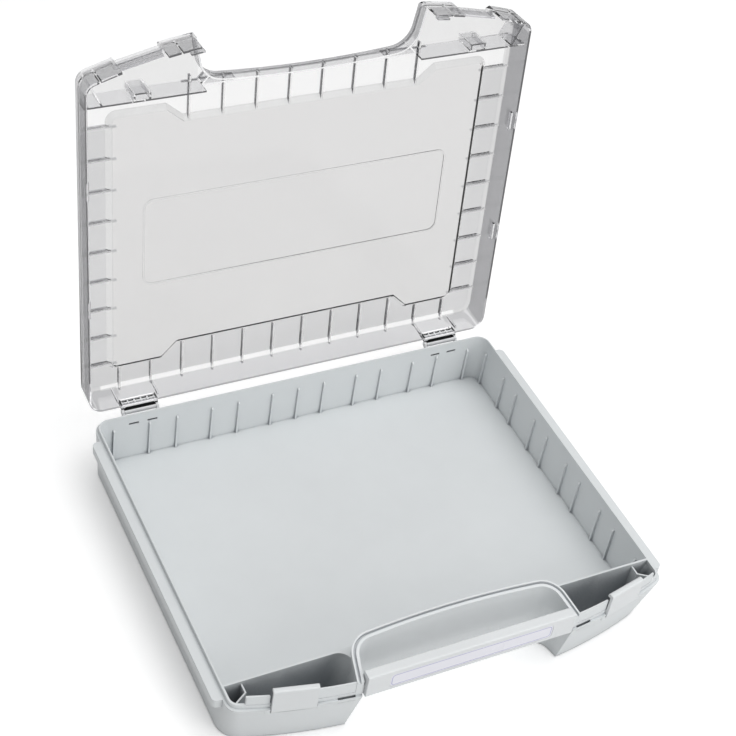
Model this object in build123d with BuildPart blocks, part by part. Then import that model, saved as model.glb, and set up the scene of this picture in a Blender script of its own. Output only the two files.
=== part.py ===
from build123d import *
import os
from math import cos, sin, radians, degrees, atan2

os.makedirs("parts", exist_ok=True)

# Driving sizes of the closed case, in millimetres.
# X runs left to right seen from the front, Y to the back, Z up.
# The origin is on the table under the middle of the overall footprint.
case_width = 367
case_depth = 316
case_height = 72
shoulder_height = 46
floor_thickness = 3

# Side rails that carry the case in a rack
rail_width = 6.7
rail_height = 7.6
rail_skin = 2
rail_front_gap = 11
rail_back_gap = 19.5

# Hinge line behind the back wall
barrel_radius = 2.3
barrel_setback = 5.2
hinge_height = shoulder_height
lid_open_angle = 95

# Plan outline at the shoulder
bar_proud = 0.8
body_half = case_width / 2 - rail_width
back_y = case_depth / 2 - barrel_radius - barrel_setback
front_y = bar_proud - case_depth / 2
front_flat_half = 84
front_sweep = 19.5
front_bulge = 2.9
back_corner = 12
front_corner = 10

# How far the tray draws in towards its foot
side_draft = 2
back_draft = 1.5
front_draft = 11
front_corner_draft = 8

# Rim of the tray: shoulder outside, tongue inside
rim_wall = 3.2
tongue_wall = 1.2
tongue_height = 3.7
tongue_top = shoulder_height + tongue_height
front_tongue_wall = 1.6

# Compartments
bin_pitch = 53.2
pocket_depth = 38.5
partition_y = front_y + pocket_depth
partition_wall = 1.6
foot_wall = 2.2

# Hand recess behind the grip bar
recess_front_half = 89.5
recess_back_half = 78.9
recess_depth = 33.4
recess_back_y = front_y + recess_depth
recess_bow = 4
recess_overrun = 20
recess_corner = 14
recess_spread = 5
recess_wall = 2
gutter_width = 1.7
gutter_wall = 1.2
gutter_depth = 2.4
rim_reach = recess_wall + gutter_width + gutter_wall
rim_front_drop = 12
rim_back_drop = 2.2
rim_front_top = case_height - rim_front_drop
rim_back_top = case_height - rim_back_drop
pocket_inner_x = 80.5
pocket_inner_round = 10

# Locating ribs for the insert bins
tray_rib_drop = 8.2
tray_rib_top = shoulder_height - tray_rib_drop
tray_rib_depth = 2
tray_rib_thickness = 1.6
back_rib_offset = 23.2
side_rib_offset = 10.6

# Walls that stand above the shoulder beside each latch
inner_wall_drop = 12
inner_wall_top = case_height - inner_wall_drop
outer_tab_drop = 14
outer_tab_top = case_height - outer_tab_drop
outer_tab_end = 165

# Small walls and slots in the front pockets
corner_wall_x = 160.2
corner_wall_run = 8.5
corner_wall_reach = 14.4
corner_wall_drop = 9.5
corner_wall = 1.2
corner_wall_rise = 1
corner_wall_top = shoulder_height + corner_wall_rise
ledge_slot_low_x = 89.6
ledge_slot_high_x = 102.5
ledge_slot_depth = 4
ledge_slot_width = 1.9
ledge_lip = 0.9

# Latches
latch_x = 133.3
latch_width = 32
latch_drop = 6
latch_top = case_height - latch_drop
latch_plate = 2.2
latch_gap = 0.4
latch_axis_depth = 2.5
latch_axis_drop = 2.4
latch_axis_height = shoulder_height - latch_axis_drop
latch_barrel = 2.3
hook_height = 3.2
hook_reach = 4.6
latch_pin_radius = 1
latch_pin_inset = 1
latch_lug_width = 3.4
latch_lug_depth = 5.6
latch_lug_height = 4.8

# Hinges
hinge_inset = 41.5
hinge_x = body_half - hinge_inset
hinge_width = 30.6
hinge_plate = 1.8
hinge_pin_radius = 1
leaf_drop = 12.5
leaf_rise = 8
lid_leaf_depth = 2.7
middle_knuckle = 26
knuckle_gap = 0.25
leaf_foot = 0.5
leaf_border = 1
leaf_windows = 5
leaf_window_length = 4.1
leaf_window_height = 1.9
leaf_window_pitch = 5.4
leaf_window_depth = 2
leaf_row_low = 2.6
leaf_row_high = 5.9
leaf_hollow_y = 3.1
leaf_hollow_width = 2.4
leaf_hollow_depth = 1.8
clip_width = 8
clip_spacing = 15.5
clip_height = 1.5
clip_drop = 6
clip_z = shoulder_height - clip_drop

# Running fits and seats
pin_fit = 0.02
running_fit = 0.05
seat_gap = 0.15

# Grip bar and label
bar_drop = 6
bar_top = case_height - bar_drop
bar_overlap = 1
bar_bottom = shoulder_height - bar_overlap
bar_depth = 8.1
bar_wall = 2.2
bar_edge = 1.2
bar_webs = 4
bar_web = 1.6
peg_height = 7
peg_thickness = 3.2
peg_setback = 5.4
peg_y = peg_setback - case_depth / 2
peg_rise = 5.4
peg_z = bar_bottom + peg_rise
socket_reach = 3.4
boss_setback = 11
boss_back_y = boss_setback - case_depth / 2
boss_drop = 3
boss_bottom = bar_bottom - boss_drop
label_length = 131
label_height = 13.6
label_drop = 0.3
label_z = (bar_top + bar_bottom) / 2 - label_drop
label_recess = 0.8
label_thickness = 0.6
label_corner = 3

# Lid
lid_gap = 0.3
lid_wall = 1.7
lid_wall_thickening = 0.9
lid_back_lean = 1.2
lid_side_lean = 0.6
lid_edge_height = 3.4
lid_edge_inset = 3
border_skin = 2.2
border_inside = case_height - border_skin
panel_sink = 4.4
panel_outside = case_height - panel_sink
panel_skin = 2.1
panel_half = 154
panel_back_border = 35
panel_back_y = back_y - panel_back_border
panel_hinge_border = 22
panel_back_hinge_y = back_y - panel_hinge_border
panel_front_border = 66.2
panel_front_y = front_y + panel_front_border
panel_corner_border = 55.2
panel_front_corner_y = front_y + panel_corner_border
panel_step_inner = 96
panel_step_outer = 109
panel_corner = 8
panel_slope = 4
lid_rib_pitch = 26.6
lid_rib_pitch_x = 26.4
lid_rib_thickness = 1.3
lid_rib_depth = 5.9
lid_rib_bottom = case_height - lid_rib_depth
rib_start_border = 29.8
rib_start_y = back_y - rib_start_border
hinge_rib_offset = 16.6
hinge_rib_depth = 1.4
gusset_start_x = 163
gusset_end_x = 171.5
gusset_end_border = 21.2
gusset_end_y = front_y + gusset_end_border
tab_slot_border = 19.2
tab_slot_end_y = front_y + tab_slot_border
label_field_length = 254
label_field_width = 77
label_field_y = 12.3
label_field_corner = 8
label_field_ridge = 1.2
label_field_height = 0.7
seat_drop = 9.5
seat_lip_top = case_height - seat_drop
seat_lip_height = 7.7
seat_lip_bottom = seat_lip_top - seat_lip_height
seat_half = 17.2
seat_lip_half = 16
seat_lip_setback = 3.4
seat_riser = 5.4
seat_wall = 1.6
tab_slot = 1.4
inner_tab_slot_x = 106.3
outer_tab_slot_x = 165.3
tab_slot_drop = 8
tab_slot_top = case_height - tab_slot_drop
post_x = 133.8
post_width = 12.8
post_depth = 6.4
post_wall = 1.2
guide_tab_length = 15
guide_tab_height = 2.5
guide_tab_depth = 1.9
guide_tab_front_y = -51.3
guide_tab_back_y = 53.5
gusset_wall = 1.2
ledge_tab_length = 10
notch_wall = 1.2
notch_wall_bottom = inner_wall_top + lid_gap
partition_end_x = 86
strut_end_x = 77.5
strut_run = 9.5


def outline(side, back, front, back_round, front_round):
    """Case outline seen from above: straight back and sides, and a front that sweeps back
    in an arc from the hand recess to each front corner."""
    middle_x = (front_flat_half + side) / 2
    middle_y = front + front_sweep / 2 - front_bulge
    with BuildSketch() as shape:
        with BuildLine():
            Line((-front_flat_half, front), (front_flat_half, front))
            ThreePointArc((front_flat_half, front), (middle_x, middle_y), (side, front + front_sweep))
            Line((side, front + front_sweep), (side, back))
            Line((side, back), (-side, back))
            Line((-side, back), (-side, front + front_sweep))
            ThreePointArc((-side, front + front_sweep), (-middle_x, middle_y), (-front_flat_half, front))
        make_face()
        fillet(shape.vertices().group_by(Axis.Y)[-1], back_round)
        front_points = shape.vertices().filter_by(lambda v: abs(v.X) > side - 0.01 and v.Y < 0)
        fillet(front_points, front_round)
    return shape.sketch


def plan(grow=0, foot=0):
    """Outline of the tray, grown outwards by grow.
    foot goes from 0 at the shoulder to 1 at the underside, where the walls draw in."""
    return outline(
        body_half + grow - foot * side_draft,
        back_y + grow - foot * back_draft,
        front_y - grow + foot * front_draft,
        back_corner + grow,
        front_corner + grow + foot * front_corner_draft,
    )


def lid_plan(height, grow=0):
    """Outline of the lid at one height of the closed case, grown outwards by grow."""
    lean = (height - shoulder_height) / (case_height - shoulder_height)
    return outline(
        body_half + grow - lean * lid_side_lean,
        back_y + grow - lean * lid_back_lean,
        front_y - grow,
        back_corner + grow,
        front_corner + grow,
    )


def panel(grow=0):
    """Outline of the sunk panel in the top of the lid, with stepped front and back edges."""
    half = panel_half + grow
    back = panel_back_y + grow
    back_outer = panel_back_hinge_y + grow
    front = panel_front_y - grow
    front_outer = panel_front_corner_y - grow
    right_side = [
        (panel_step_inner, back),
        (panel_step_outer, back_outer),
        (half, back_outer),
        (half, front_outer),
        (panel_step_outer, front_outer),
        (panel_step_inner, front),
    ]
    left_side = [(-x, y) for x, y in reversed(right_side)]
    with BuildSketch() as shape:
        with BuildLine():
            Polyline(*right_side, *left_side, close=True)
        make_face()
        corners = shape.vertices().filter_by(lambda v: abs(v.X) > half - 0.01)
        fillet(corners, panel_corner + grow)
    return shape.sketch


def recess(grow=0, foot=0):
    """Outline of the hand recess, grown outwards by grow.
    foot goes from 0 at the shoulder to 1 at the underside, where the recess is wider."""
    back_half = recess_back_half + grow + foot * recess_spread
    front_half = recess_front_half + grow + foot * recess_spread
    open_y = front_y - recess_overrun
    with BuildSketch() as shape:
        with BuildLine():
            Line((front_half, open_y), (back_half, recess_back_y - recess_bow + grow))
            ThreePointArc(
                (back_half, recess_back_y - recess_bow + grow),
                (0, recess_back_y + grow),
                (-back_half, recess_back_y - recess_bow + grow),
            )
            Line((-back_half, recess_back_y - recess_bow + grow), (-front_half, open_y))
            Line((-front_half, open_y), (front_half, open_y))
        make_face()
        corners = shape.vertices().filter_by(lambda v: v.Y > front_y)
        fillet(corners, recess_corner + grow)
    return shape.sketch


def recess_half(depth):
    """Half the width of the hand recess at a depth behind the front wall."""
    run = recess_depth - recess_bow + recess_overrun
    return recess_front_half - (recess_front_half - recess_back_half) * (depth + recess_overrun) / run


def band(low_x, high_x, low_y=-case_depth, high_y=case_depth):
    """A pair of mirrored upright strips seen from above, to pick out a stretch of a wall."""
    with BuildSketch() as shape:
        for side in (-1, 1):
            with Locations((side * (low_x + high_x) / 2, (low_y + high_y) / 2)):
                Rectangle(high_x - low_x, high_y - low_y)
    return shape.sketch


def front_wall_y(x, grow=0):
    """Y of the front outline at a given X, from the arc that plan draws."""
    side = body_half + grow
    half_chord = (side - front_flat_half) / 2
    along = (x - front_flat_half) / (2 * half_chord)
    return front_y - grow + front_sweep * along - 4 * front_bulge * along * (1 - along)


latch_rise = front_wall_y(latch_x + latch_width / 2) - front_wall_y(latch_x - latch_width / 2)
latch_turn = degrees(atan2(latch_rise, latch_width))


def latch_plane(side, height=0):
    """Plane at the foot of one latch: X along the front wall, Y into the case, Z up."""
    return Plane(
        origin=(side * latch_x, front_wall_y(latch_x), height),
        x_dir=(cos(radians(latch_turn)), side * sin(radians(latch_turn)), 0),
        z_dir=(0, 0, 1),
    )


def latch_section(side, along):
    """Upright plane across one latch at a distance along it: X into the case, Y up."""
    foot = latch_plane(side)
    return Plane(origin=foot.origin + foot.x_dir * along, x_dir=foot.y_dir, z_dir=foot.x_dir)


hinge_y = back_y + barrel_setback
swing = (
    Location((0, hinge_y, hinge_height))
    * Location((0, 0, 0), (-lid_open_angle, 0, 0))
    * Location((0, -hinge_y, -hinge_height))
)


def opened(plane):
    """Where a plane of the closed lid stands while the lid rests open."""
    return Plane(swing * plane.location)


def level(height):
    return Plane.XY.offset(height)


def lid_level(height):
    return opened(level(height))


# Tray: one moulding with walls, rim, hand recess and side rails
rail_front_y = front_y + front_sweep + rail_front_gap
rail_back_y = back_y - rail_back_gap
tongue_face = tongue_wall - rim_wall
partition_face = partition_y - partition_wall / 2
inner_back_y = back_y - rim_wall
inner_half = body_half - rim_wall
bin_rows = round((inner_back_y - partition_y) / bin_pitch)
bin_columns = int(inner_half / bin_pitch)
latch_window = latch_width + 2 * latch_gap
peg_half = recess_half(peg_setback - bar_proud)
window_low = latch_x - latch_window / 2 * cos(radians(latch_turn))
window_high = latch_x + latch_window / 2 * cos(radians(latch_turn))
wall_above_recess = recess_half(0) + rim_reach - gutter_wall


def pocket(grow, foot):
    """Outline of the right front pocket at one height."""
    with BuildSketch() as shape:
        add(plan(grow, foot))
        with Locations((pocket_inner_x + foot * recess_spread, partition_face)):
            Rectangle(case_width / 2, case_depth, align=(Align.MIN, Align.MAX), mode=Mode.INTERSECT)
        inner_corner = shape.vertices().sort_by(lambda v: v.X - v.Y)[0]
        fillet(inner_corner, pocket_inner_round)
        add(recess(recess_wall, foot), mode=Mode.SUBTRACT)
    return shape.sketch


def rim_height(y):
    """Height of the rim round the hand recess, which rises from the front to the back."""
    return rim_front_top + (rim_back_top - rim_front_top) * (y - front_y) / (recess_depth + rim_reach)


def rim_layer(shape, top, bottom, end_y=recess_back_y + recess_overrun):
    """Part of the sloping rim: a plan shape kept between two drops below the rim's top."""
    start_y = front_y - recess_overrun
    with BuildPart() as layer:
        with BuildSketch(level(boss_bottom)):
            add(shape)
            add(plan(tongue_face), mode=Mode.INTERSECT)
        extrude(amount=case_height)
        with BuildSketch(Plane.YZ.offset(-case_width / 2)):
            with BuildLine():
                Polyline(
                    (start_y, rim_height(start_y) - bottom),
                    (end_y, rim_height(end_y) - bottom),
                    (end_y, rim_height(end_y) - top),
                    (start_y, rim_height(start_y) - top),
                    close=True,
                )
            make_face()
        extrude(amount=case_width, mode=Mode.INTERSECT)
    return layer.part


def rib_profile(reach, top):
    """Side view of a locating rib: upright bar with a bevelled top corner, rooted in the wall."""
    with BuildSketch() as shape:
        with Locations((-reach, floor_thickness - 1)):
            Rectangle(reach + 1, top - floor_thickness + 1, align=(Align.MIN, Align.MIN))
        chamfer(shape.vertices().sort_by(Axis.Y)[-2:].sort_by(Axis.X)[0], reach * 0.7)
    return shape.sketch


# The space inside the two front pockets, cut out of the tray in one go
with BuildPart() as pocket_space:
    for height, grow, foot in ((floor_thickness, -foot_wall, 1), (shoulder_height, -rim_wall, 0)):
        with BuildSketch(level(height)):
            add(pocket(grow, foot))
    loft(ruled=True)
    with BuildSketch(level(shoulder_height)):
        add(pocket(tongue_face - front_tongue_wall, 0))
    extrude(amount=case_height)
    # Bent wall that closes off the outer corner of the pocket
    with BuildSketch(level(0)):
        with BuildLine():
            Polyline(
                (corner_wall_x, partition_y + partition_wall),
                (corner_wall_x, partition_y - corner_wall_run),
                (corner_wall_x + corner_wall_reach, partition_y - corner_wall_run - corner_wall_drop),
            )
        trace(line_width=corner_wall)
    extrude(amount=corner_wall_top, mode=Mode.SUBTRACT)
    mirror(about=Plane.YZ)

# Wall of the hand recess above the shoulder: it ends in a sloping rim with a gutter along it,
# and thickens beside the grip bar into bosses for the bar's pegs
recess_shell = [
    rim_layer(recess(recess_wall), 0, case_height),
    rim_layer(recess(rim_reach) - recess(rim_reach - gutter_wall), 0, gutter_depth + recess_wall),
    rim_layer(recess(rim_reach), gutter_depth, gutter_depth + recess_wall),
    rim_layer(recess(rim_reach), gutter_depth, rim_front_top - boss_bottom, boss_back_y),
]

# The hand recess, wider towards the table
with BuildPart() as recess_space:
    for height, foot in ((-shoulder_height, 2), (shoulder_height, 0)):
        with BuildSketch(level(height)):
            add(recess(0, foot))
    loft(ruled=True)
    with BuildSketch(level(shoulder_height)):
        add(recess())
    extrude(amount=case_height)

with BuildPart() as base_tray:
    with BuildSketch(level(0)):
        add(plan(foot=1))
    with BuildSketch(level(shoulder_height)):
        add(plan())
    loft(ruled=True)
    # Tongue round the rim that the lid skirt fits over
    with BuildSketch(level(shoulder_height - 2)):
        add(plan(tongue_face))
    extrude(amount=tongue_top - shoulder_height + 2)
    # Stretches of wall beside each latch stand higher than the tongue
    for low, high, top in (
        (wall_above_recess, window_low, inner_wall_top),
        (window_high, outer_tab_end, outer_tab_top),
    ):
        with BuildSketch(level(shoulder_height - 2)):
            add(plan(tongue_face - lid_gap))
            add(band(low, high, -case_depth, partition_face - pocket_inner_round), mode=Mode.INTERSECT)
        extrude(amount=top - shoulder_height + 2)
    # Storage space, floor to rim
    with BuildSketch(level(floor_thickness)):
        add(plan(-rim_wall))
        with Locations((0, partition_y + partition_wall / 2 + case_depth / 2)):
            Rectangle(case_width, case_depth, mode=Mode.INTERSECT)
        add(recess(recess_wall), mode=Mode.SUBTRACT)
    extrude(amount=case_height, mode=Mode.SUBTRACT)
    # Front pockets, and everything inside the walls that stand beside the latches
    add(pocket_space.part, mode=Mode.SUBTRACT)
    # Wall of the hand recess, then the open recess itself
    add(recess_shell)
    add(recess_space.part, mode=Mode.SUBTRACT)
    # Rails with a hollow underside
    with BuildSketch(level(shoulder_height - rail_height)) as rails:
        add(band(body_half - 1.5, case_width / 2, rail_front_y, rail_back_y))
        fillet(rails.vertices().filter_by(lambda v: abs(v.X) > body_half), rail_width * 0.6)
    extrude(amount=rail_height)
    with BuildSketch(level(shoulder_height - rail_height - 1)):
        rail_ends = (rail_front_y + rail_skin, rail_back_y - rail_skin)
        add(band(body_half + 0.1, case_width / 2 - rail_skin, *rail_ends))
    extrude(amount=rail_height - rail_skin + 1, mode=Mode.SUBTRACT)
    # Ribs that locate the insert bins
    for row in range(bin_columns + 1):
        for x in (row * bin_pitch, row * bin_pitch + back_rib_offset):
            for side in (-1, 1):
                if x < inner_half - tray_rib_depth * 2 and (x > 0 or side == 1):
                    root = Plane((side * x, inner_back_y, 0), x_dir=(0, 1, 0), z_dir=(1, 0, 0))
                    with BuildSketch(root):
                        add(rib_profile(tray_rib_depth, tray_rib_top))
    for row in range(bin_rows + 1):
        for shift in (-side_rib_offset, side_rib_offset):
            y = inner_back_y - row * bin_pitch + shift
            for side in (-1, 1):
                if partition_y + tray_rib_depth < y < inner_back_y:
                    root = Plane((side * inner_half, y, 0), x_dir=(side, 0, 0), z_dir=(0, -side, 0))
                    with BuildSketch(root):
                        add(rib_profile(tray_rib_depth, tray_rib_top))
    extrude(amount=tray_rib_thickness / 2, both=True)
    # Ledge slots beside the grip bar that take the lid's inner tabs
    with BuildSketch(level(shoulder_height - ledge_slot_depth)):
        add(plan(-ledge_lip))
        add(plan(-ledge_lip - ledge_slot_width), mode=Mode.SUBTRACT)
        add(band(ledge_slot_low_x, ledge_slot_high_x, -case_depth, partition_y), mode=Mode.INTERSECT)
    extrude(amount=ledge_slot_depth + 1, mode=Mode.SUBTRACT)
    # Windows, lugs and pin bores for the latches
    for side in (-1, 1):
        with BuildSketch(latch_plane(side, latch_axis_height - latch_lug_height / 2)):
            for end in (-1, 1):
                with Locations((end * (latch_window + latch_lug_width) / 2, (latch_lug_depth + 1) / 2)):
                    Rectangle(latch_lug_width + 0.6, latch_lug_depth - 1)
        extrude(amount=latch_lug_height)
        with BuildSketch(latch_section(side, -latch_window / 2)):
            with Locations((latch_axis_depth, latch_axis_height)):
                Circle(latch_barrel + latch_gap)
            with Locations((-rim_wall, latch_axis_height)):
                Rectangle(3 * rim_wall + latch_lug_depth, case_height, align=(Align.MIN, Align.MIN))
        extrude(amount=latch_window, mode=Mode.SUBTRACT)
        with BuildSketch(latch_section(side, -latch_window / 2 - latch_lug_width)):
            with Locations((latch_axis_depth, latch_axis_height)):
                Circle(latch_pin_radius + pin_fit)
        extrude(amount=latch_window + 2 * latch_lug_width, mode=Mode.SUBTRACT)
    # Slots in the back wall for the hinge clips
    with BuildSketch(Plane.XZ.offset(-back_y - 1)):
        for side in (-1, 1):
            for end in (-1, 1):
                with Locations((side * hinge_x + end * clip_spacing / 2, clip_z)):
                    Rectangle(clip_width + 2 * seat_gap, clip_height + 2 * seat_gap)
    extrude(amount=rim_wall + 2, mode=Mode.SUBTRACT)
    # Sockets for the pegs of the grip bar
    with BuildSketch(Plane.XZ.offset(-peg_y - peg_thickness / 2 - seat_gap)):
        with Locations((0, peg_z)):
            Rectangle(2 * (peg_half + socket_reach), peg_height + 2 * seat_gap)
    extrude(amount=peg_thickness + 2 * seat_gap, mode=Mode.SUBTRACT)
base_tray.part.label = "base_tray"
export_step(base_tray.part, "parts/base_tray.step")

# Grip bar: hollow at the back, with a shallow field for the label
bar_half = recess_half(bar_depth - bar_proud) - 2 * seat_gap

with BuildPart() as grip_bar:
    bar_front = -case_depth / 2
    with BuildSketch(Plane.YZ.offset(-bar_half)) as section:
        with Locations((bar_front, bar_bottom)):
            Rectangle(bar_depth, bar_top - bar_bottom, align=(Align.MIN, Align.MIN))
        fillet(section.vertices(), bar_edge)
        chamfer(section.vertices().group_by(Axis.Y)[0].sort_by(Axis.X)[0], bar_edge / 2)
    extrude(amount=2 * bar_half)
    # Finger side: the bar is a channel, open to the back between its lip and its top
    with BuildSketch(Plane.YZ.offset(-bar_half + bar_wall)):
        with Locations((bar_front + bar_wall, bar_bottom + bar_wall)):
            Rectangle(bar_depth, bar_top - bar_bottom - 2 * bar_wall, align=(Align.MIN, Align.MIN))
    extrude(amount=2 * (bar_half - bar_wall), mode=Mode.SUBTRACT)
    # Stiffening webs inside the channel
    with BuildSketch(Plane.XY.offset(bar_bottom + bar_wall / 2)):
        with Locations((0, bar_front + bar_depth / 2)):
            with GridLocations(2 * bar_half / (bar_webs + 1), 1, bar_webs, 1):
                Rectangle(bar_web, bar_depth - bar_edge)
    extrude(amount=bar_top - bar_bottom - bar_wall)
    # Pegs that seat in the walls of the hand recess
    peg_end = peg_half + socket_reach - 2 * seat_gap
    with BuildSketch(Plane.YZ.offset(-peg_end)):
        with Locations((peg_y, peg_z)):
            Rectangle(peg_thickness, peg_height)
    extrude(amount=2 * peg_end)
    # Label field
    with BuildSketch(Plane.XZ.offset(-bar_front)):
        with Locations((0, label_z)):
            RectangleRounded(label_length, label_height, label_corner)
    extrude(amount=-label_recess, mode=Mode.SUBTRACT)
grip_bar.part.label = "grip_bar"
export_step(grip_bar.part, "parts/grip_bar.step")

# Blank label strip, seated on the floor of its field
with BuildPart() as label_strip:
    with BuildSketch(Plane.XZ.offset(-bar_front - label_recess)):
        with Locations((0, label_z)):
            inset = 2 * seat_gap
            RectangleRounded(label_length - inset, label_height - inset, label_corner - seat_gap)
    extrude(amount=label_thickness)
label_strip.part.label = "label_strip"
export_step(label_strip.part, "parts/label_strip.step")


def make_latch(side):
    """Latch lever: barrel at the foot, plate flush with the front wall, hook at the top."""
    with BuildPart() as lever:
        with BuildSketch(latch_section(side, -latch_width / 2)) as section:
            with Locations((0, latch_axis_height)):
                Rectangle(latch_plate, latch_top - latch_axis_height, align=(Align.MIN, Align.MIN))
            with Locations((0, latch_top - hook_height)):
                Rectangle(hook_reach, hook_height, align=(Align.MIN, Align.MIN))
            top_edge = section.vertices().group_by(Axis.Y)[-1]
            fillet(top_edge.sort_by(Axis.X)[0], hook_height * 0.45)
            chamfer(section.vertices().group_by(Axis.Y)[-1].sort_by(Axis.X)[-1], hook_height * 0.35)
            with Locations((latch_axis_depth, latch_axis_height)):
                Circle(latch_barrel)
        extrude(amount=latch_width)
        with BuildSketch(latch_section(side, -latch_width / 2)):
            with Locations((latch_axis_depth, latch_axis_height)):
                Circle(latch_pin_radius + running_fit)
        extrude(amount=latch_width, mode=Mode.SUBTRACT)
    return lever.part


def make_latch_pin(side):
    """Steel pin that the latch turns on, held in the tray's lugs."""
    with BuildPart() as pin:
        half = latch_window / 2 + latch_lug_width - latch_pin_inset
        with BuildSketch(latch_section(side, -half)):
            with Locations((latch_axis_depth, latch_axis_height)):
                Circle(latch_pin_radius)
        extrude(amount=2 * half)
    return pin.part


def hinge_sections(centre):
    """Spans along X of the two outer knuckles and the middle one."""
    outer = (hinge_width - middle_knuckle) / 2
    return (
        (centre - hinge_width / 2, outer - knuckle_gap),
        (centre + hinge_width / 2 - outer + knuckle_gap, outer - knuckle_gap),
    )


def make_tray_leaf(centre):
    """Leaf on the back wall of the tray: plate, two clips through the wall, two outer knuckles."""
    with BuildPart() as leaf:
        plate_top = hinge_height - barrel_radius + 0.2
        with BuildSketch(Plane.YZ.offset(centre - hinge_width / 2)):
            with Locations((back_y, plate_top)):
                Rectangle(hinge_plate, leaf_drop, align=(Align.MIN, Align.MAX))
        extrude(amount=hinge_width)
        for start, length in hinge_sections(centre):
            with BuildSketch(Plane.YZ.offset(start)):
                with Locations((hinge_y, hinge_height)):
                    Circle(barrel_radius)
                with BuildLine():
                    Polyline(
                        (back_y, plate_top - 2),
                        (back_y, hinge_height),
                        (hinge_y, hinge_height),
                        (hinge_y, plate_top - 0.2),
                        (back_y + hinge_plate, plate_top - 2),
                        close=True,
                    )
                make_face()
            extrude(amount=length)
            with BuildSketch(Plane.YZ.offset(start)):
                with Locations((hinge_y, hinge_height)):
                    Circle(hinge_pin_radius + pin_fit)
            extrude(amount=length, mode=Mode.SUBTRACT)
        with BuildSketch(Plane.XZ.offset(-back_y - 0.5)):
            for end in (-1, 1):
                with Locations((centre + end * clip_spacing / 2, clip_z)):
                    Rectangle(clip_width, clip_height)
        extrude(amount=rim_wall - 0.3)
    return leaf.part


def make_hinge_pin(centre):
    with BuildPart() as pin:
        with BuildSketch(Plane.YZ.offset(centre - hinge_width / 2)):
            with Locations((hinge_y, hinge_height)):
                Circle(hinge_pin_radius)
        extrude(amount=hinge_width)
    return pin.part


def lid_back_y(height):
    """Y of the outside of the lid's sloping back wall at a given height, closed."""
    return back_y - lid_back_lean * (height - shoulder_height) / (case_height - shoulder_height)


lid_back_angle = degrees(atan2(lid_back_lean, case_height - shoulder_height))


def lid_back_plane(centre, height):
    """Plane on the outside of the lid's back wall: Y up the slope, Z outwards."""
    return opened(
        Plane(
            origin=(centre, lid_back_y(height), height),
            x_dir=(-1, 0, 0),
            z_dir=(0, cos(radians(lid_back_angle)), sin(radians(lid_back_angle))),
        )
    )


def make_lid_leaf(centre):
    """Leaf on the lid: block with two rows of windows, and the middle knuckle."""
    with BuildPart() as leaf:
        with BuildSketch(lid_back_plane(centre, shoulder_height + leaf_foot)):
            with Locations((0, leaf_rise / 2)):
                Rectangle(hinge_width, leaf_rise)
        extrude(amount=lid_leaf_depth)
        start = centre - middle_knuckle / 2
        with BuildSketch(opened(Plane.YZ.offset(start))):
            with Locations((hinge_y, hinge_height)):
                Circle(barrel_radius)
            with BuildLine():
                Polyline(
                    (lid_back_y(shoulder_height + leaf_foot), shoulder_height + leaf_foot),
                    (lid_back_y(hinge_height + barrel_radius), hinge_height + barrel_radius),
                    (hinge_y, hinge_height + barrel_radius),
                    (hinge_y, hinge_height),
                    close=True,
                )
            make_face()
        extrude(amount=middle_knuckle)
        with BuildSketch(opened(Plane.YZ.offset(start))):
            with Locations((hinge_y, hinge_height)):
                Circle(hinge_pin_radius + running_fit)
        extrude(amount=middle_knuckle, mode=Mode.SUBTRACT)
        # Blind windows that face into the lid, and a long hollow under the knuckle's web
        with BuildSketch(lid_back_plane(centre, shoulder_height + leaf_foot)):
            for row in (leaf_row_low, leaf_row_high):
                with Locations((0, row)):
                    with GridLocations(leaf_window_pitch, 1, leaf_windows, 1):
                        Rectangle(leaf_window_length, leaf_window_height)
        extrude(amount=leaf_window_depth, mode=Mode.SUBTRACT)
        with BuildSketch(lid_level(hinge_height - 1)):
            with Locations((centre, hinge_y - leaf_hollow_y)):
                Rectangle(middle_knuckle - 2 * leaf_border, leaf_hollow_width)
        extrude(amount=leaf_hollow_depth + 1, mode=Mode.SUBTRACT)
    return leaf.part


for side, name in ((-1, "left"), (1, "right")):
    made = {
        "latch_" + name: make_latch(side),
        "latch_pin_" + name: make_latch_pin(side),
        "hinge_tray_leaf_" + name: make_tray_leaf(side * hinge_x),
        "hinge_lid_leaf_" + name: make_lid_leaf(side * hinge_x),
        "hinge_pin_" + name: make_hinge_pin(side * hinge_x),
    }
    for label, piece in made.items():
        piece.label = label
        export_step(piece, "parts/" + label + ".step")


# Lid: clear moulding, drawn closed and swung open about the hinge pins
panel_inside = panel_outside - panel_skin
channel_foot = tongue_top + 2 * lid_gap
notch_outer = rim_reach + lid_gap
notch_inner = notch_outer + notch_wall
cavity_edge = lid_wall + lid_wall_thickening

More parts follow.
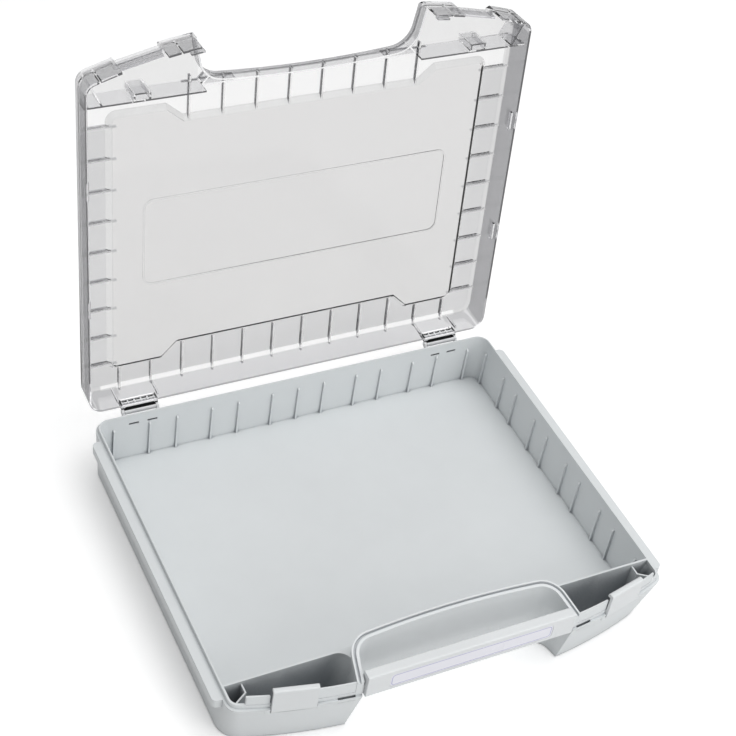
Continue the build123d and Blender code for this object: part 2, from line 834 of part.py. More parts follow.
with BuildPart() as lid_space:
    # Hollow of the lid, with a bevel inside the upper edge
    for height, grow in (
        (shoulder_height - 1, -lid_wall),
        (notch_wall_bottom, -lid_wall),
        (border_inside - lid_edge_height + 0.8, -cavity_edge),
        (border_inside, -cavity_edge - lid_edge_inset),
    ):
        with BuildSketch(lid_level(height)):
            add(lid_plan(height, grow))
    loft(ruled=True)
    # The sunk panel hangs into the hollow
    for height, grow in ((panel_inside, -panel_slope + 0.9), (border_inside + 1, 1.7)):
        with BuildSketch(lid_level(height)):
            add(panel(grow))
    loft(ruled=True, mode=Mode.SUBTRACT)
    # Wall round the notch over the hand recess
    with BuildSketch(lid_level(shoulder_height - 1)):
        add(recess(notch_inner))
    extrude(amount=case_height, mode=Mode.SUBTRACT)
    # Short ribs bridge the channel between the panel and the walls
    with BuildSketch(lid_level(lid_rib_bottom)):
        for row in range(int((rib_start_y - panel_front_corner_y) / lid_rib_pitch) + 1):
            y = rib_start_y - row * lid_rib_pitch
            add(band(panel_half - 8, body_half, y - lid_rib_thickness / 2, y + lid_rib_thickness / 2))
        for row in range(round(panel_half / lid_rib_pitch_x)):
            x = (row + 0.5) * lid_rib_pitch_x
            low, high = x - lid_rib_thickness / 2, x + lid_rib_thickness / 2
            add(band(low, high, panel_back_y - 8, back_y))
            if x < panel_step_inner:
                add(band(low, high, recess_back_y, panel_front_y + 8))
    extrude(amount=case_height, mode=Mode.SUBTRACT)
    # Ribs on the back wall that frame each hinge leaf
    with BuildSketch(lid_level(channel_foot)):
        for x in (hinge_x - hinge_rib_offset, hinge_x + hinge_rib_offset):
            wall = (back_y - lid_wall - lid_back_lean - hinge_rib_depth, back_y)
            add(band(x - lid_rib_thickness / 2, x + lid_rib_thickness / 2, *wall))
    extrude(amount=case_height, mode=Mode.SUBTRACT)
    # Partition, hollow posts and corner gussets hang down over the front pockets
    with BuildSketch(lid_level(channel_foot)):
        for side in (-1, 1):
            with BuildLine():
                Line((side * body_half, partition_y), (side * partition_end_x, partition_y))
            trace(line_width=lid_rib_thickness)
        with Locations((-post_x, partition_y - post_depth / 2), (post_x, partition_y - post_depth / 2)):
            Rectangle(post_width, post_depth)
            Rectangle(post_width - 2 * post_wall, post_depth - 2 * post_wall, mode=Mode.SUBTRACT)
        for side in (-1, 1):
            with BuildLine():
                Line((side * gusset_start_x, partition_y), (side * gusset_end_x, gusset_end_y))
            trace(line_width=gusset_wall)
    extrude(amount=case_height, mode=Mode.SUBTRACT)
    # The partition runs on as a shallow wall behind the notch, with a strut at each end
    with BuildSketch(lid_level(notch_wall_bottom)):
        with BuildLine():
            Polyline(
                (-strut_end_x, partition_y - strut_run),
                (-partition_end_x, partition_y),
                (partition_end_x, partition_y),
                (strut_end_x, partition_y - strut_run),
            )
        trace(line_width=lid_rib_thickness)
    extrude(amount=case_height, mode=Mode.SUBTRACT)
    # Ledge, riser and lip that each latch grips
    for side in (-1, 1):
        with BuildSketch(opened(latch_plane(side, seat_lip_top - seat_wall))):
            with Locations((0, seat_riser + seat_wall)):
                Rectangle(2 * (seat_half + seat_wall), 4 * seat_riser, align=(Align.CENTER, Align.MAX))
        extrude(amount=case_height, mode=Mode.SUBTRACT)
        with BuildSketch(opened(latch_plane(side, seat_lip_bottom))):
            with Locations((0, seat_lip_setback)):
                Rectangle(2 * seat_lip_half, seat_wall, align=(Align.CENTER, Align.MIN))
        extrude(amount=seat_lip_top - seat_lip_bottom, mode=Mode.SUBTRACT)

with BuildPart() as lid:
    for height, grow in (
        (shoulder_height + lid_gap, 0),
        (case_height - lid_edge_height, 0),
        (case_height, -lid_edge_inset),
    ):
        with BuildSketch(lid_level(height)):
            add(lid_plan(height, grow))
    loft(ruled=True)
    add(lid_space.part, mode=Mode.SUBTRACT)
    # Sunk panel seen from above
    for height, grow in ((panel_outside, -panel_slope), (case_height, 0)):
        with BuildSketch(lid_level(height)):
            add(panel(grow))
    loft(ruled=True, mode=Mode.SUBTRACT)
    # Notch that fits round the rim of the hand recess
    with BuildSketch(lid_level(shoulder_height - 1)):
        add(recess(notch_outer))
    extrude(amount=case_height, mode=Mode.SUBTRACT)
    with BuildSketch(lid_level(shoulder_height - 1)):
        add(recess(notch_inner + 0.05))
    extrude(amount=notch_wall_bottom - shoulder_height + 1, mode=Mode.SUBTRACT)
    # Room for the latches in the skirt
    for side in (-1, 1):
        for bottom, top, depth in (
            (shoulder_height - 1, seat_lip_top, seat_lip_setback),
            (seat_lip_top, case_height + 1, seat_riser),
        ):
            with BuildSketch(opened(latch_plane(side, bottom))):
                with Locations((0, depth)):
                    Rectangle(2 * seat_half, 3 * seat_riser, align=(Align.CENTER, Align.MAX))
            extrude(amount=top - bottom, mode=Mode.SUBTRACT)
    # Slots that part the front skirt into springy tabs
    with BuildSketch(lid_level(shoulder_height - 1)):
        for x in (inner_tab_slot_x, outer_tab_slot_x):
            add(band(x - tab_slot / 2, x + tab_slot / 2, -case_depth, tab_slot_end_y))
    extrude(amount=tab_slot_top - shoulder_height + 1, mode=Mode.SUBTRACT)
    # Tabs that drop into the slots of the tray's shoulder
    with BuildSketch(lid_level(shoulder_height - ledge_slot_depth + lid_gap)):
        add(plan(-ledge_lip - lid_gap))
        add(plan(lid_gap - ledge_lip - ledge_slot_width), mode=Mode.SUBTRACT)
        middle = (ledge_slot_low_x + ledge_slot_high_x) / 2
        add(
            band(middle - ledge_tab_length / 2, middle + ledge_tab_length / 2, -case_depth, partition_y),
            mode=Mode.INTERSECT,
        )
    extrude(amount=ledge_slot_depth + lid_gap)
    # Guide tabs inside the side walls
    with BuildSketch(lid_level(channel_foot)):
        for y in (guide_tab_front_y, guide_tab_back_y):
            add(
                band(
                    body_half - lid_wall - guide_tab_depth,
                    body_half - lid_wall + 0.5,
                    y - guide_tab_length / 2,
                    y + guide_tab_length / 2,
                )
            )
    extrude(amount=guide_tab_height)
    # Windows in the back wall behind the hinge leaves
    for side in (-1, 1):
        with BuildSketch(lid_back_plane(side * hinge_x, shoulder_height + leaf_foot)):
            with Locations((0, leaf_rise / 2)):
                Rectangle(hinge_width - 2 * leaf_border, leaf_rise - 2 * leaf_border)
        extrude(amount=2 * lid_wall, both=True, mode=Mode.SUBTRACT)
    # Ridge round the label field inside the panel
    with BuildSketch(lid_level(panel_inside - label_field_height)):
        with Locations((0, label_field_y)):
            RectangleRounded(label_field_length, label_field_width, label_field_corner)
            RectangleRounded(
                label_field_length - 2 * label_field_ridge,
                label_field_width - 2 * label_field_ridge,
                label_field_corner - label_field_ridge,
                mode=Mode.SUBTRACT,
            )
    extrude(amount=label_field_height + 0.4)
lid.part.label = "lid"
export_step(lid.part, "parts/lid.step")
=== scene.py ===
import math

import bpy
import numpy as np
from mathutils import Euler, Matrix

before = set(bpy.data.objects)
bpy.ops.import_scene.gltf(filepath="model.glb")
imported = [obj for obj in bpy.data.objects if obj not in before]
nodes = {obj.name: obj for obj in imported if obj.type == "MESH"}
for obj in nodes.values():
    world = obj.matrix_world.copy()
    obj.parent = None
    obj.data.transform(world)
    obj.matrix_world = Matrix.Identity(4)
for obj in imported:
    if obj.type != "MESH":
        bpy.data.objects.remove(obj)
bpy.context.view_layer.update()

# Viewpoint: a long lens from the front left, looking down into the open case.
# Place and turn come from the straight edges of the real case.
camera_data = bpy.data.cameras.new("view")
camera_data.sensor_width = 36.0
camera_data.lens = 81.563
camera_data.clip_start = 0.05
camera_data.clip_end = 30.0
camera = bpy.data.objects.new("view", camera_data)
camera.location = (-0.48659, -0.73246, 0.98216)
camera.rotation_euler = Euler([math.radians(a) for a in (47.3905, -7.3536, -25.2931)])
bpy.context.collection.objects.link(camera)
bpy.context.scene.camera = camera

# Tray: one large injection moulding in light grey ABS with a fine spark-eroded grain.
# The outer walls draw in towards the foot, and everything else is fixed to it.


def put(tree, kind, inputs=(), **settings):
    """Adds a shader node; inputs maps a socket's name or number to a value or an output."""
    node = tree.nodes.new("ShaderNode" + kind)
    for key, value in settings.items():
        setattr(node, key, value)
    for key, value in dict(inputs).items():
        if isinstance(value, bpy.types.NodeSocket):
            tree.links.new(value, node.inputs[key])
        else:
            node.inputs[key].default_value = value
    return node


def combine(tree, operation, *terms):
    """One Math node."""
    return put(tree, "Math", dict(enumerate(terms)), operation=operation).outputs[0]


def below(value, limit, soft=0.0004):
    """Mask that is 1 where value is under limit and 0 above it, soft either side."""
    span = {"From Min": limit - soft, "From Max": limit + soft, "To Min": 1.0, "To Max": 0.0}
    return put(value.id_data, "MapRange", {"Value": value, **span}).outputs[0]


def above(value, limit, soft=0.0004):
    """Mask that is 1 where value is over limit and 0 under it, soft either side."""
    span = {"From Min": limit - soft, "From Max": limit + soft}
    return put(value.id_data, "MapRange", {"Value": value, **span}).outputs[0]


def all_of(first, *others):
    """Product of masks."""
    for other in others:
        first = combine(first.id_data, "MULTIPLY", first, other)
    return first


def tint(under, mask, colour):
    """Lays a colour over another where a mask says."""
    sockets = {"Factor": mask, "A": under, "B": (*colour, 1)}
    return put(mask.id_data, "Mix", sockets, data_type="RGBA").outputs["Result"]


def object_axes(tree):
    """X, Y and Z of the Object coordinates."""
    return put(tree, "SeparateXYZ", {0: put(tree, "TexCoord").outputs["Object"]}).outputs


def absolute(value):
    """Size of a value without its sign."""
    return combine(value.id_data, "ABSOLUTE", value)


def group_tree(name, takes, gives):
    """Starts a shader node group; takes and gives map socket names to (kind, value)."""
    tree = bpy.data.node_groups.new(name, "ShaderNodeTree")
    for way, sockets in (("INPUT", takes), ("OUTPUT", gives)):
        for label, (kind, value) in sockets.items():
            socket = tree.interface.new_socket(
                name=label, in_out=way, socket_type="NodeSocket" + kind
            )
            if value is not None:
                socket.default_value = value
    return tree, tree.nodes.new("NodeGroupInput").outputs, tree.nodes.new("NodeGroupOutput").inputs


def moulded_grain_group():
    """Surface of a textured moulding: grain height, slow clouding of the colour and the
    roughness, and fine handling scuffs that are drawn out along the case."""
    tree, take, give = group_tree(
        "moulded grain",
        {
            "Colour": ("Color", (0.6, 0.6, 0.6, 1)),
            "Roughness": ("Float", 0.45),
            "Clouding": ("Float", 0.03),
            "Scuffs": ("Float", 0.06),
        },
        {"Colour": ("Color", None), "Roughness": ("Float", None), "Height": ("Float", None)},
    )
    place = put(tree, "TexCoord").outputs["Object"]

    def noise(vector, scale, detail, roughness):
        """Noise of so many cells to the metre."""
        sockets = {"Vector": vector, "Scale": scale, "Detail": detail, "Roughness": roughness}
        return put(tree, "TexNoise", sockets).outputs["Fac"]

    def spread(value, low, high, to_low, to_high):
        """Stretches the range low to high of a value over another range."""
        span = {"From Min": low, "From Max": high, "To Min": to_low, "To Max": to_high}
        return put(tree, "MapRange", {"Value": value, **span}).outputs[0]

    along = {"Vector": place, "Scale": (1.0, 0.14, 1.0), "Rotation": (0, 0, 0.5)}
    drawn_out = put(tree, "Mapping", along).outputs[0]
    slow = spread(noise(place, 8.0, 3.0, 0.55), 0.3, 0.7, -1.0, 1.0)
    quick = spread(noise(place, 60.0, 4.0, 0.6), 0.3, 0.7, -0.3, 0.3)
    scuffs = spread(noise(drawn_out, 260.0, 5.0, 0.7), 0.6, 0.78, 0.0, 1.0)
    both = combine(tree, "ADD", slow, quick)
    shade = combine(tree, "MULTIPLY_ADD", both, take["Clouding"], 1.0)
    colour = put(tree, "VectorMath", {0: take["Colour"], "Scale": shade}, operation="SCALE")
    worn = combine(tree, "MULTIPLY_ADD", scuffs, take["Scuffs"], take["Roughness"])
    tree.links.new(colour.outputs[0], give["Colour"])
    tree.links.new(combine(tree, "MULTIPLY_ADD", slow, 0.03, worn), give["Roughness"])
    tree.links.new(noise(place, 2400.0, 2.0, 0.6), give["Height"])
    return tree


moulded_grain = moulded_grain_group()


def bare_material(name):
    """A new material with its node tree and its Principled shader."""
    material = bpy.data.materials.new(name)
    material.use_nodes = True
    return material, material.node_tree, material.node_tree.nodes["Principled BSDF"]


def moulded_plastic(
    name, colour, roughness=0.42, clouding=0.02, scuffs=0.06, grain=0.08, rounding=0.0004
):
    """Opaque moulded plastic: the shared grain over a base colour, with softened edges."""
    material, tree, shader = bare_material(name)
    shader.inputs["IOR"].default_value = 1.5
    shader.inputs["Specular IOR Level"].default_value = 0.4
    finish = {
        "Colour": (*colour, 1),
        "Roughness": roughness,
        "Clouding": clouding,
        "Scuffs": scuffs,
    }
    surface = put(tree, "Group", finish, node_tree=moulded_grain)
    edge = put(tree, "Bevel", {"Radius": rounding}, samples=4)
    relief = {
        "Strength": grain,
        "Distance": 0.0001,
        "Height": surface.outputs["Height"],
        "Normal": edge.outputs[0],
    }
    bump = put(tree, "Bump", relief)
    tree.links.new(surface.outputs["Colour"], shader.inputs["Base Color"])
    tree.links.new(surface.outputs["Roughness"], shader.inputs["Roughness"])
    tree.links.new(bump.outputs[0], shader.inputs["Normal"])
    return material


def dress(name, material):
    """Gives a carried-over solid its one material."""
    slots = nodes[name].material_slots
    for slot in slots:
        slot.material = material
    if not slots:
        nodes[name].data.materials.append(material)


def painted_hollow_shade_group():
    """Painted shade: darkens a colour where walls close in, standing in for the shade that falls
    there. A mask runs from 0 at an openness of Open to 1 at Closed, measured within Reach of
    the surface, and mixes the colour with Deep."""
    tree, take, give = group_tree(
        "hollow shade",
        {
            "Colour": ("Color", (0.6, 0.6, 0.6, 1)),
            "Deep": ("Color", (0.2, 0.2, 0.2, 1)),
            "Reach": ("Float", 0.05),
            "Open": ("Float", 0.5),
            "Closed": ("Float", 0.15),
        },
        {"Colour": ("Color", None)},
    )
    openness = put(tree, "AmbientOcclusion", {"Distance": take["Reach"]}, samples=8)
    span = {"From Min": take["Open"], "From Max": take["Closed"]}
    mask = put(tree, "MapRange", {"Value": openness.outputs["AO"], **span})
    sockets = {"Factor": mask.outputs[0], "A": take["Colour"], "B": take["Deep"]}
    tone = put(tree, "Mix", sockets, data_type="RGBA")
    tree.links.new(tone.outputs["Result"], give["Colour"])
    return tree


painted_hollow_shade = painted_hollow_shade_group()


def paint_shade_in_hollows(material, deep, reach, open_from, closed_at):
    """Puts the shared painted hollow shade between a material's colour and its shader, and
    gives back its node."""
    tree = material.node_tree
    socket = tree.nodes["Principled BSDF"].inputs["Base Color"]
    sockets = {
        "Colour": socket.links[0].from_socket,
        "Deep": (*deep, 1),
        "Reach": reach,
        "Open": open_from,
        "Closed": closed_at,
    }
    shade = put(tree, "Group", sockets, node_tree=painted_hollow_shade)
    tree.links.new(shade.outputs["Colour"], socket)
    return shade


def pale_gutter(shade):
    """Keeps the painted shade light in the gutter along the rim of the hand recess: there
    the deep colour of the narrow painted shade is a middle grey. The mask is a box with
    edges a millimetre or two soft."""
    gutter_half, gutter_back, gutter_foot = 0.0915, -0.071, 0.050
    axes = object_axes(shade.id_data)
    mask = all_of(
        below(absolute(axes["X"]), gutter_half, 0.0005),
        above(axes["Z"], gutter_foot, 0.001),
        below(axes["Y"], gutter_back, 0.001),
    )
    deep = shade.inputs["Deep"]
    shade.id_data.links.new(tint(deep.default_value[:], mask, (0.56, 0.58, 0.60)), deep)


tray_plastic = moulded_plastic("tray plastic", (0.70, 0.725, 0.735))
# Painted shade: the colour is darkened in the deep pockets and, within a few millimetres, in
# creases and slots
paint_shade_in_hollows(tray_plastic, (0.29, 0.31, 0.33), reach=0.05, open_from=0.40, closed_at=0.12)
narrow_painted_shade = paint_shade_in_hollows(
    tray_plastic, (0.34, 0.36, 0.38), reach=0.006, open_from=0.62, closed_at=0.30
)
pale_gutter(narrow_painted_shade)
dress("base_tray", tray_plastic)

# Grip bar: a channel moulded in the tray's kind of plastic, a little smoother, that
# crosses the hand recess. The pegs at its ends seat in sockets of the tray.
dress("grip_bar", moulded_plastic("grip bar plastic", (0.72, 0.74, 0.75), roughness=0.36))

# Label strip: a blank slip of pale film that sits in the bar's shallow field. A thin
# lilac line is printed just inside its edge.


def overlay(material, mask, colour):
    """Lays a colour over the colour that a material has so far, where a mask says."""
    tree = material.node_tree
    socket = tree.nodes["Principled BSDF"].inputs["Base Color"]
    tree.links.new(tint(socket.links[0].from_socket, mask, colour), socket)


def label_film():
    """Pale film with a thin printed border: the line follows a rounded rectangle in the
    strip's own X and Z, where q = |p| - half size + corner and the distance from its
    outline is |max(q, 0)| + min(max(q.x, q.z), 0) - corner."""
    material = moulded_plastic(
        "label film", (0.80, 0.80, 0.86), roughness=0.26, clouding=0.008, grain=0.02
    )
    tree = material.node_tree
    half_x, half_z, middle_z, corner = 0.0640, 0.0053, 0.0552, 0.0024

    axes = object_axes(tree)
    over_x = combine(tree, "SUBTRACT", absolute(axes["X"]), half_x - corner)
    up = absolute(combine(tree, "SUBTRACT", axes["Z"], middle_z))
    over_z = combine(tree, "SUBTRACT", up, half_z - corner)
    out_x, out_z = (combine(tree, "MAXIMUM", over, 0.0) for over in (over_x, over_z))
    out = put(tree, "CombineXYZ", {0: out_x, 1: out_z}).outputs[0]
    reach = put(tree, "VectorMath", {0: out}, operation="LENGTH").outputs["Value"]
    larger = combine(tree, "MAXIMUM", over_x, over_z)
    total = combine(tree, "ADD", reach, combine(tree, "MINIMUM", larger, 0.0))
    away = absolute(combine(tree, "SUBTRACT", total, corner))
    overlay(material, below(away, 0.00031, 0.00009), (0.42, 0.42, 0.62))
    return material


dress("label_strip", label_film())

# Latch levers: moulded in the tray's plastic, each turning on a steel pin that is
# held between two lugs of the front wall.
latch_plastic = moulded_plastic("latch plastic", (0.71, 0.73, 0.74), roughness=0.38)
for side in ("left", "right"):
    dress("latch_" + side, latch_plastic)


def drawn_steel():
    """Bright drawn wire, with fine lines and a slightly uneven polish."""
    material, tree, shader = bare_material("pin steel")
    shader.inputs["Metallic"].default_value = 1.0
    place = put(tree, "TexCoord").outputs["Object"]
    lines = put(tree, "TexNoise", {"Vector": place, "Scale": 1800.0, "Detail": 2.0}).outputs["Fac"]
    tone = tint((0.52, 0.52, 0.54, 1), lines, (0.66, 0.66, 0.68))
    rough = put(tree, "MapRange", {"Value": lines, "To Min": 0.24, "To Max": 0.36})
    tree.links.new(tone, shader.inputs["Base Color"])
    tree.links.new(rough.outputs[0], shader.inputs["Roughness"])
    return material


pin_steel = drawn_steel()
for side in ("left", "right"):
    dress("latch_pin_" + side, pin_steel)
    dress("hinge_pin_" + side, pin_steel)

# Hinges: two pale plastic leaves each. The tray leaf clips through the back wall, and
# the lid leaf is a block whose blind windows look dark from inside the lid through painted
# shade. Painted shade also darkens the clip ends and the slot beside the barrel.


def paint_clip_end_shade(material):
    """Painted shade: darkens the ends of the clips, which sit deep in their slots in the back
    wall.
    """
    tips_start = 0.1487
    shaded_tips = below(object_axes(material.node_tree)["Y"], tips_start, 0.0002)
    overlay(material, shaded_tips, (0.03, 0.03, 0.035))


def between(value, low, high, soft=0.0004):
    """Mask that is 1 where value lies between two limits, soft either side of each."""
    return all_of(above(value, low, soft), below(value, high, soft))


def paint_gap_shadow(material):
    """Painted shadow: blackens the slot between the pierced block and its barrel, by its
    place with the lid open."""
    gap_low, gap_high, gap_front = 0.0474, 0.0496, 0.1549
    axes = object_axes(material.node_tree)
    slot = all_of(
        between(axes["Z"], gap_low, gap_high, 0.0001), above(axes["Y"], gap_front, 0.0002)
    )
    overlay(material, slot, (0.01, 0.01, 0.011))


leaf_plastic = moulded_plastic("hinge plastic", (0.76, 0.77, 0.78), roughness=0.4)
paint_clip_end_shade(leaf_plastic)
block_plastic = moulded_plastic(
    "hinge block plastic", (0.74, 0.75, 0.76), roughness=0.4, rounding=0.0002
)
# Painted shade: the block's blind windows and other hollows are darkened nearly to black
paint_shade_in_hollows(block_plastic, (0.02, 0.02, 0.022), reach=0.0022, open_from=0.72, closed_at=0.42)
paint_gap_shadow(block_plastic)
for side in ("left", "right"):
    dress("hinge_tray_leaf_" + side, leaf_plastic)
    dress("hinge_lid_leaf_" + side, block_plastic)

# Lid: one clear polycarbonate moulding, faintly grey, that hangs on the two hinges. Its
# ribs, and its walls where they are seen along their length, are painted darker as painted
# shade. Some parts are painted lighter as painted light, and thin ends have a painted glow.
hinge_line = (0, 0.1557, 0.046)
open_angle = math.radians(95)

# Heights that mark off parts of the shut lid, in metres above the table
rib_top = 0.0699
channel_foot = 0.0687
notch_foot = 0.0672
skirt_top = 0.0660
rib_foot = 0.0655
back_wall_foot = 0.0650
under_panel = 0.0640
guide_top = 0.0600

# Places that mark them off from front to back, in metres behind the middle of the case
tabs_back = -0.1300
partition = -0.1187
slope_front = -0.1120
front_border = -0.1000
panel_front = -0.0890
notch_back = -0.0860
guides_back = 0.1000
back_ribs_start = 0.1160
back_border = 0.1200
slope_back = 0.1300

# Places that mark them off from side to side, in metres from the middle of the case
hood_inner_end = 0.0850
front_ribs_end = 0.0960
notch_half = 0.0985
side_ribs_start = 0.1475
back_ribs_end = 0.1520
slope_half = 0.1580
back_foot_half = 0.1600
side_ribs_end = 0.1700
channel_half = 0.1720
side_wall_inside = 0.1725

# Ribs and bin guides: the place of one of them, and the pitch and half thickness of all
side_rib_y, side_rib_pitch = 0.1207, 0.0266
end_rib_x, end_rib_pitch = 0.0132, 0.0264
guide_y, guide_pitch = 0.0535, 0.1048
rib_half, guide_half = 0.0009, 0.0075


def closed_place(tree):
    """Object coordinates of the open lid turned back to the shut case, where
    y' = y cos a - z sin a and z' = y sin a + z cos a about the hinge line."""
    turn = {
        "Vector": put(tree, "TexCoord").outputs["Object"],
        "Center": hinge_line,
        "Axis": (1, 0, 0),
        "Angle": open_angle,
    }
    return put(tree, "VectorRotate", turn).outputs[0]


def near_row(value, start, pitch, half, soft=0.0002):
    """1 within half of any of the planes start + k pitch: the distance is the pitch
    times |fraction of (value - start) / pitch + 1/2, less 1/2|."""
    tree = value.id_data
    turns = combine(tree, "MULTIPLY_ADD", value, 1 / pitch, 0.5 - start / pitch)
    centred = combine(tree, "SUBTRACT", combine(tree, "FRACT", turns), 0.5)
    return below(absolute(centred), half / pitch, soft / pitch)


def turned_from(tree, normal, direction):
    """Cosine of the angle between a normal and a direction."""
    sockets = {0: normal, 1: direction}
    return put(tree, "VectorMath", sockets, operation="DOT_PRODUCT").outputs["Value"]


def clear_plastic():
    """Clear plastic: full transmission and a light grey tint, with painted light and shade
    that change with the part of the lid: dark ribs, grey upright walls and rims, lighter hoods
    and foot, and a soft ripple. Shadow rays pass most of the light, as a thin clear sheet does."""
    material, tree, shader = bare_material("clear lid plastic")
    shader.inputs["Transmission Weight"].default_value = 1.0
    shader.inputs["IOR"].default_value = 1.25
    place = closed_place(tree)
    axes = put(tree, "SeparateXYZ", {0: place}).outputs
    back, up = axes["Y"], axes["Z"]
    across = absolute(axes["X"])
    # How level a surface lies with the case shut: 1 for a sheet, 0 for an upright wall
    lid_up = (0, math.sin(open_angle), math.cos(open_angle))
    level = absolute(turned_from(tree, put(tree, "TexCoord").outputs["Normal"], lid_up))
    upright = below(level, 0.42, 0.12)
    haze = put(tree, "TexNoise", {"Vector": place, "Scale": 9.0, "Detail": 3.0}).outputs["Fac"]

    # Parts of the lid: the channel round the sunk panel, the hoods over the pockets, the
    # rounded foot of the back wall, the upright walls with their bin guides, the slope
    # round the panel, the notch for the hand, the springy tabs, and the ribs
    channel = above(up, channel_foot)
    front_channel = all_of(channel, below(back, panel_front), below(across, channel_half))
    hoods = all_of(channel, below(back, partition), above(across, hood_inner_end))
    painted_foot_highlight = all_of(
        between(level, 0.50, 0.78, 0.04),
        above(back, back_border),
        below(across, back_foot_half),
        above(up, back_wall_foot),
    )
    front_walls = all_of(upright, below(back, front_border))
    side_walls = all_of(upright, above(across, side_wall_inside))
    guides = all_of(
        side_walls,
        near_row(back, guide_y, guide_pitch, guide_half),
        below(back, guides_back),
        below(up, guide_top),
    )
    slope = all_of(
        below(level, 0.92, 0.03),
        above(up, under_panel),
        below(across, slope_half),
        between(back, slope_front, slope_back),
    )
    notch = all_of(
        upright, below(back, notch_back), below(across, notch_half), above(up, notch_foot)
    )
    tabs_and_skirt = all_of(below(back, tabs_back), below(up, skirt_top))
    side_ribs = all_of(
        near_row(back, side_rib_y, side_rib_pitch, rib_half),
        between(across, side_ribs_start, side_ribs_end),
        below(up, rib_top),
        above(back, front_border),
    )
    end_ribs = all_of(
        near_row(across, end_rib_x, end_rib_pitch, rib_half),
        between(up, rib_foot, rib_top),
        upright,
    )
    back_ribs = all_of(end_ribs, above(back, back_ribs_start), below(across, back_ribs_end))
    front_ribs = all_of(end_ribs, below(back, panel_front), below(across, front_ribs_end))
    # Sharp edges, for painted shade: how far the normal, rounded over half a millimetre, turns
    # from the flat one
    rounded = put(tree, "Bevel", {"Radius": 0.0006}, samples=6).outputs[0]
    flat = put(tree, "NewGeometry").outputs["Normal"]
    sharpness = {"From Min": 0.985, "From Max": 0.85, "To Max": 0.5}
    edges = put(tree, "MapRange", {"Value": turned_from(tree, rounded, flat), **sharpness})
    # Surfaces seen along their length, for painted shade, except the slope, which is as clear as
    # the panel
    facing = put(tree, "LayerWeight", {"Blend": 0.5}).outputs["Facing"]
    rim = put(tree, "MapRange", {"Value": facing, "From Min": 0.5, "From Max": 1.0})
    off_slope = put(tree, "MapRange", {"Value": slope, "To Min": 1.0, "To Max": 0.0})

    # The panel is faintly clouded and painted a little lighter toward the front, as painted
    # light. The other tints are laid over it in this order, the narrow parts last. All are
    # painted light and shade: lighter on the front channel, hoods, back wall foot and front
    # walls, darker on the channel, slope, other walls, guides, notch, tabs, ribs, sharp edges
    # and grazing surfaces
    tone = tint((0.62, 0.617, 0.617, 1), haze, (0.68, 0.677, 0.674))
    for mask, colour in (
        (below(back, -0.02, 0.09), (0.70, 0.695, 0.695)),
        (channel, (0.61, 0.61, 0.615)),
        (front_channel, (0.86, 0.86, 0.86)),
        (hoods, (0.78, 0.78, 0.78)),
        (painted_foot_highlight, (0.90, 0.90, 0.90)),
        (upright, (0.66, 0.66, 0.67)),
        (front_walls, (0.78, 0.78, 0.79)),
        (side_walls, (0.36, 0.36, 0.37)),
        (guides, (0.28, 0.28, 0.29)),
        (slope, (0.60, 0.60, 0.60)),
        (notch, (0.24, 0.24, 0.25)),
        (tabs_and_skirt, (0.55, 0.55, 0.56)),
        (side_ribs, (0.42, 0.42, 0.43)),
        (back_ribs, (0.20, 0.20, 0.21)),
        (front_ribs, (0.05, 0.05, 0.055)),
        (edges.outputs[0], (0.22, 0.22, 0.23)),
        (all_of(rim.outputs[0], off_slope.outputs[0]), (0.26, 0.26, 0.275)),
    ):
        tone = tint(tone, mask, colour)
    tree.links.new(tone, shader.inputs["Base Color"])

    # Painted glow: the narrow ends of the walls, tabs and posts emit a little light, standing
    # in for the light that cut edges of clear plastic gather from the sheets behind them
    ends = all_of(above(level, 0.9, 0.05), below(up, under_panel))
    painted_glow = tint((0, 0, 0, 1), ends, (0.13, 0.13, 0.135))
    painted_glow = tint(painted_glow, all_of(ends, above(back, back_border)), (0.40, 0.40, 0.41))
    painted_glow = tint(painted_glow, slope, (0.05, 0.05, 0.05))
    tree.links.new(painted_glow, shader.inputs["Emission Color"])
    shader.inputs["Emission Strength"].default_value = 1.0

    rough = put(tree, "MapRange", {"Value": haze, "To Min": 0.03, "To Max": 0.07})
    tree.links.new(rough.outputs[0], shader.inputs["Roughness"])
    ripple = put(tree, "Bump", {"Strength": 0.05, "Distance": 0.0002, "Height": haze})
    tree.links.new(ripple.outputs[0], shader.inputs["Normal"])
    shadow_ray = put(tree, "LightPath").outputs["Is Shadow Ray"]
    alpha = put(tree, "MapRange", {"Value": shadow_ray, "To Min": 1.0, "To Max": 0.12})
    tree.links.new(alpha.outputs[0], shader.inputs["Alpha"])
    return material


dress("lid", clear_plastic())

# Studio: a wide white floor, a white surround that lights evenly, and two broad soft
# lamps, one overhead and one in front, so the walls that face left are darker.
floor_reach, floor_drop = 6.0, 0.0005
corners = ((-1, -1), (1, -1), (1, 1), (-1, 1))
floor_mesh = bpy.data.meshes.new("floor")
floor_mesh.from_pydata(
    [(x * floor_reach, y * floor_reach, -floor_drop) for x, y in corners], [], [(0, 1, 2, 3)]
)
floor = bpy.data.objects.new("floor", floor_mesh)
bpy.context.collection.objects.link(floor)


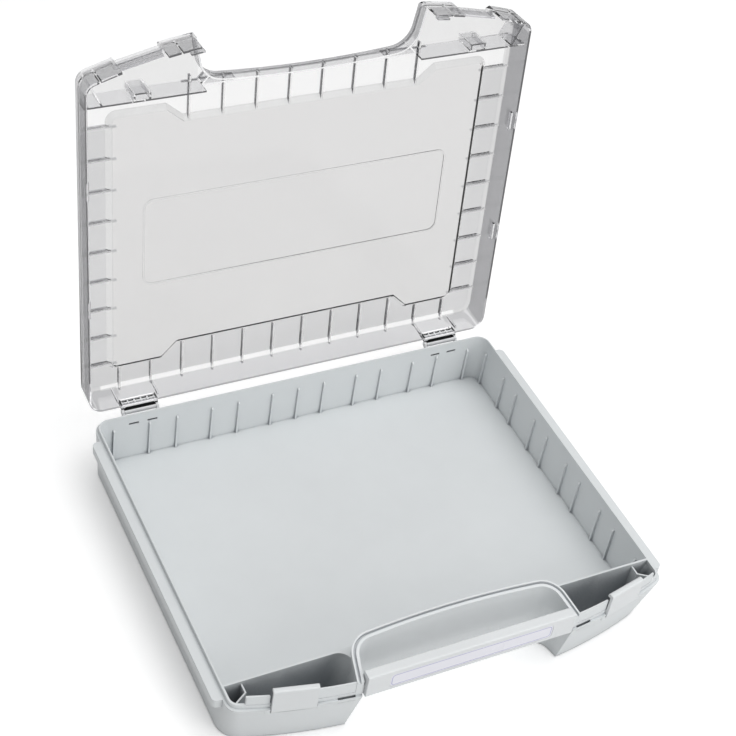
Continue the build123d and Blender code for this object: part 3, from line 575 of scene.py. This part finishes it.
def white_floor():
    """White floor that keeps the case's shadow. Where it is seen, directly or through the
    lid, it is a little brighter than where it lights the case, and it fades into the
    white surround between 1.2 m and 1.8 m from the middle."""
    material, tree, shader = bare_material("floor")

    rays = put(tree, "LightPath").outputs
    seen = combine(tree, "MAXIMUM", rays["Is Camera Ray"], rays["Is Transmission Ray"])
    tree.links.new(tint((0.8, 0.8, 0.8, 1), seen, (1.0, 1.0, 1.0)), shader.inputs["Base Color"])
    shader.inputs["Emission Color"].default_value = (1, 1, 1, 1)
    tree.links.new(combine(tree, "MULTIPLY", seen, 0.2), shader.inputs["Emission Strength"])
    place = put(tree, "TexCoord").outputs["Object"]
    away = put(tree, "VectorMath", {0: place}, operation="LENGTH").outputs["Value"]
    hidden = all_of(seen, above(away, 1.5, 0.3))
    tree.links.new(combine(tree, "SUBTRACT", 1.0, hidden), shader.inputs["Alpha"])
    shader.inputs["Roughness"].default_value = 0.9
    shader.inputs["Specular IOR Level"].default_value = 0.0
    return material


floor_mesh.materials.append(white_floor())

world = bpy.data.worlds.new("surround")
bpy.context.scene.world = world
world.use_nodes = True
world_tree = world.node_tree
world_back = world_tree.nodes["Background"]
world_back.inputs["Color"].default_value = (1, 1, 1, 1)
rays = put(world_tree, "LightPath").outputs
seen = rays["Is Camera Ray"]
for kind in ("Is Glossy Ray", "Is Transmission Ray"):
    seen = combine(world_tree, "MAXIMUM", seen, rays[kind])
strength = put(world_tree, "MapRange", {"Value": seen, "To Min": 0.42, "To Max": 1.0})
world_tree.links.new(strength.outputs[0], world_back.inputs["Strength"])


def soft_lamp(name, place, target, size, power):
    """Square area lamp aimed at a point."""
    data = bpy.data.lights.new(name, "AREA")
    data.shape = "SQUARE"
    data.size = size
    data.energy = power
    lamp = bpy.data.objects.new(name, data)
    lamp.location = place
    aim = np.array(target) - np.array(place)
    lamp.rotation_euler = (
        math.atan2(math.hypot(aim[0], aim[1]), -aim[2]),
        0.0,
        math.atan2(aim[0], -aim[1]) + math.pi,
    )
    bpy.context.collection.objects.link(lamp)
    return lamp


middle = (0, 0, 0.05)
soft_lamp("overhead", (0.3, -0.3, 2.4), middle, size=2.2, power=31.0)
front_lamp = soft_lamp("front", (0.7, -2.2, 1.1), middle, size=1.8, power=21.0)
# Its square would otherwise be mirrored in the shut lid
front_lamp.visible_glossy = False

bpy.context.scene.view_settings.view_transform = "Standard"
